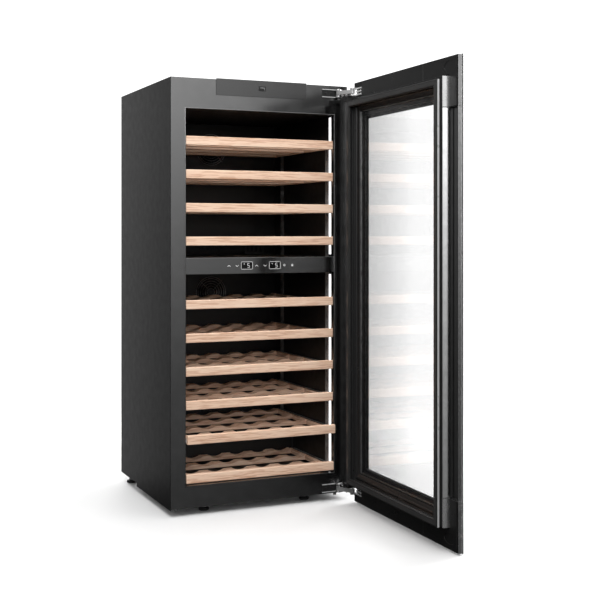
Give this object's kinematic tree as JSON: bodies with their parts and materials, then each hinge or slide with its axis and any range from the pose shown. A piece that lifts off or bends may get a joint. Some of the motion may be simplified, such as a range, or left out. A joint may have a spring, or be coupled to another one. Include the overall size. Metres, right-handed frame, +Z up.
{
  "type": "built-in wine cooler",
  "caption": "Built-in dual-zone wine cooler with a framed glass door on concealed side hinges, a touch panel between the zones and pull-out beech racks.",
  "frame": {"origin": "centre of the base pan's flat underside, midway across the case's width and depth; the feet reach 19 mm below it", "axes": "+X across the front towards the hinge side, +Y from the front to the back, +Z up"},
  "size_m": [0.5652, 1.1588, 1.238],
  "materials": {
    "case_steel": "satin",
    "frame_steel": "satin",
    "galvanised_steel": "satin",
    "liner_plastic": "satin",
    "panel_plastic": "satin",
    "display_plastic": "gloss",
    "led_diffuser": "matte",
    "runner_steel": "satin",
    "beech": "satin",
    "fan_plastic": "satin",
    "fin_aluminium": "satin",
    "black_steel": "satin",
    "inlet_plastic": "matte",
    "foot_plastic": "matte",
    "door_tray_plastic": "satin",
    "door_trim": "satin",
    "door_glass": "polished",
    "gasket_rubber": "matte",
    "hinge_steel": "polished"
  },
  "bodies": {
    "cabinet": {"side_panel_left": "case_steel", "side_panel_right": "case_steel", "top_panel": "case_steel", "rear_cover": "galvanised_steel", "base_pan": "galvanised_steel", "front_frame": "frame_steel", "top_fixing_cover": "frame_steel", "liner_left": "liner_plastic", "liner_right": "liner_plastic", "liner_top": "liner_plastic", "liner_floor": "liner_plastic", "liner_rear": "liner_plastic", "zone_divider": "liner_plastic", "air_duct_upper": "liner_plastic", "air_duct_lower": "liner_plastic", "control_panel": "panel_plastic", "display_board": "display_plastic", "led_strip_upper_left": "led_diffuser", "led_strip_upper_right": "led_diffuser", "led_strip_lower_left": "led_diffuser", "led_strip_lower_right": "led_diffuser", "runner_bank_left": "runner_steel", "runner_bank_right": "runner_steel", "evaporator_upper": "fin_aluminium", "evaporator_lower": "fin_aluminium", "compressor": "black_steel", "condenser": "black_steel", "power_inlet": "inlet_plastic", "hinge_bracket_upper": "hinge_steel", "hinge_bracket_lower": "hinge_steel"},
    "door": {"door_tray": "door_tray_plastic", "door_outer_glass": "door_glass", "door_inner_glass": "door_glass", "glass_spacer": "door_trim", "door_inner_frame": "door_trim", "door_gasket": "gasket_rubber", "door_cover_top": "door_trim", "door_cover_bottom": "door_trim", "grip_cap_top": "door_trim", "grip_cap_bottom": "door_trim", "hinge_leaf_upper": "hinge_steel", "hinge_leaf_lower": "hinge_steel"},
    "hinge_link_upper": {"hinge_link_upper": "hinge_steel"},
    "hinge_link_lower": {"hinge_link_lower": "hinge_steel"},
    "rack_01": {"rack_01": "beech"},
    "rack_02": {"rack_02": "beech"},
    "rack_03": {"rack_03": "beech"},
    "rack_04": {"rack_04": "beech"},
    "rack_05": {"rack_05": "beech"},
    "rack_06": {"rack_06": "beech"},
    "rack_07": {"rack_07": "beech"},
    "rack_08": {"rack_08": "beech"},
    "rack_09": {"rack_09": "beech"},
    "rack_10": {"rack_10": "beech"},
    "fan_upper": {"fan_upper": "fan_plastic"},
    "fan_lower": {"fan_lower": "fan_plastic"},
    "foot_front_left": {"foot_front_left": "foot_plastic"},
    "foot_front_right": {"foot_front_right": "foot_plastic"},
    "foot_rear_left": {"foot_rear_left": "foot_plastic"},
    "foot_rear_right": {"foot_rear_right": "foot_plastic"}
  },
  "joints": [
    {"name": "door_swing", "type": "hinge", "parent": "cabinet", "child": "door", "pos_m": [0.29, -0.313, 0.6], "axis": [0, 0, 1], "range_deg": [-88.5, 11.5]},
    {"name": "hinge_link_upper_turn", "type": "hinge", "parent": "cabinet", "child": "hinge_link_upper", "pos_m": [0.241, -0.27, 1.19], "axis": [0, 0, 1], "range_deg": [-6, 40]},
    {"name": "hinge_link_lower_turn", "type": "hinge", "parent": "cabinet", "child": "hinge_link_lower", "pos_m": [0.241, -0.27, 0.02], "axis": [0, 0, 1], "range_deg": [-6, 40]},
    {"name": "rack_01_slide", "type": "slide", "parent": "cabinet", "child": "rack_01", "axis": [0, -1, 0], "range_m": [0, 0.25]},
    {"name": "rack_02_slide", "type": "slide", "parent": "cabinet", "child": "rack_02", "axis": [0, -1, 0], "range_m": [0, 0.25]},
    {"name": "rack_03_slide", "type": "slide", "parent": "cabinet", "child": "rack_03", "axis": [0, -1, 0], "range_m": [0, 0.25]},
    {"name": "rack_04_slide", "type": "slide", "parent": "cabinet", "child": "rack_04", "axis": [0, -1, 0], "range_m": [0, 0.25]},
    {"name": "rack_05_slide", "type": "slide", "parent": "cabinet", "child": "rack_05", "axis": [0, -1, 0], "range_m": [0, 0.25]},
    {"name": "rack_06_slide", "type": "slide", "parent": "cabinet", "child": "rack_06", "axis": [0, -1, 0], "range_m": [0, 0.25]},
    {"name": "rack_07_slide", "type": "slide", "parent": "cabinet", "child": "rack_07", "axis": [0, -1, 0], "range_m": [0, 0.25]},
    {"name": "rack_08_slide", "type": "slide", "parent": "cabinet", "child": "rack_08", "axis": [0, -1, 0], "range_m": [0, 0.25]},
    {"name": "rack_09_slide", "type": "slide", "parent": "cabinet", "child": "rack_09", "axis": [0, -1, 0], "range_m": [-0.016, 0.234]},
    {"name": "rack_10_slide", "type": "slide", "parent": "cabinet", "child": "rack_10", "axis": [0, -1, 0], "range_m": [-0.005, 0.135]},
    {"name": "fan_upper_spin", "type": "hinge", "parent": "cabinet", "child": "fan_upper", "pos_m": [0, 0.192, 1.046], "axis": [0, 1, 0], "continuous": true},
    {"name": "fan_lower_spin", "type": "hinge", "parent": "cabinet", "child": "fan_lower", "pos_m": [0, 0.192, 0.584], "axis": [0, 1, 0], "continuous": true},
    {"name": "foot_front_left_height", "type": "slide", "parent": "cabinet", "child": "foot_front_left", "axis": [0, 0, -1], "range_m": [0, 0.012]},
    {"name": "foot_front_right_height", "type": "slide", "parent": "cabinet", "child": "foot_front_right", "axis": [0, 0, -1], "range_m": [0, 0.012]},
    {"name": "foot_rear_left_height", "type": "slide", "parent": "cabinet", "child": "foot_rear_left", "axis": [0, 0, -1], "range_m": [0, 0.012]},
    {"name": "foot_rear_right_height", "type": "slide", "parent": "cabinet", "child": "foot_rear_right", "axis": [0, 0, -1], "range_m": [0, 0.012]}
  ],
  "couplings": [
    {"joint": "hinge_link_upper_turn", "follows": "door_swing", "ratio": -0.446},
    {"joint": "hinge_link_lower_turn", "follows": "door_swing", "ratio": -0.446}
  ]
}
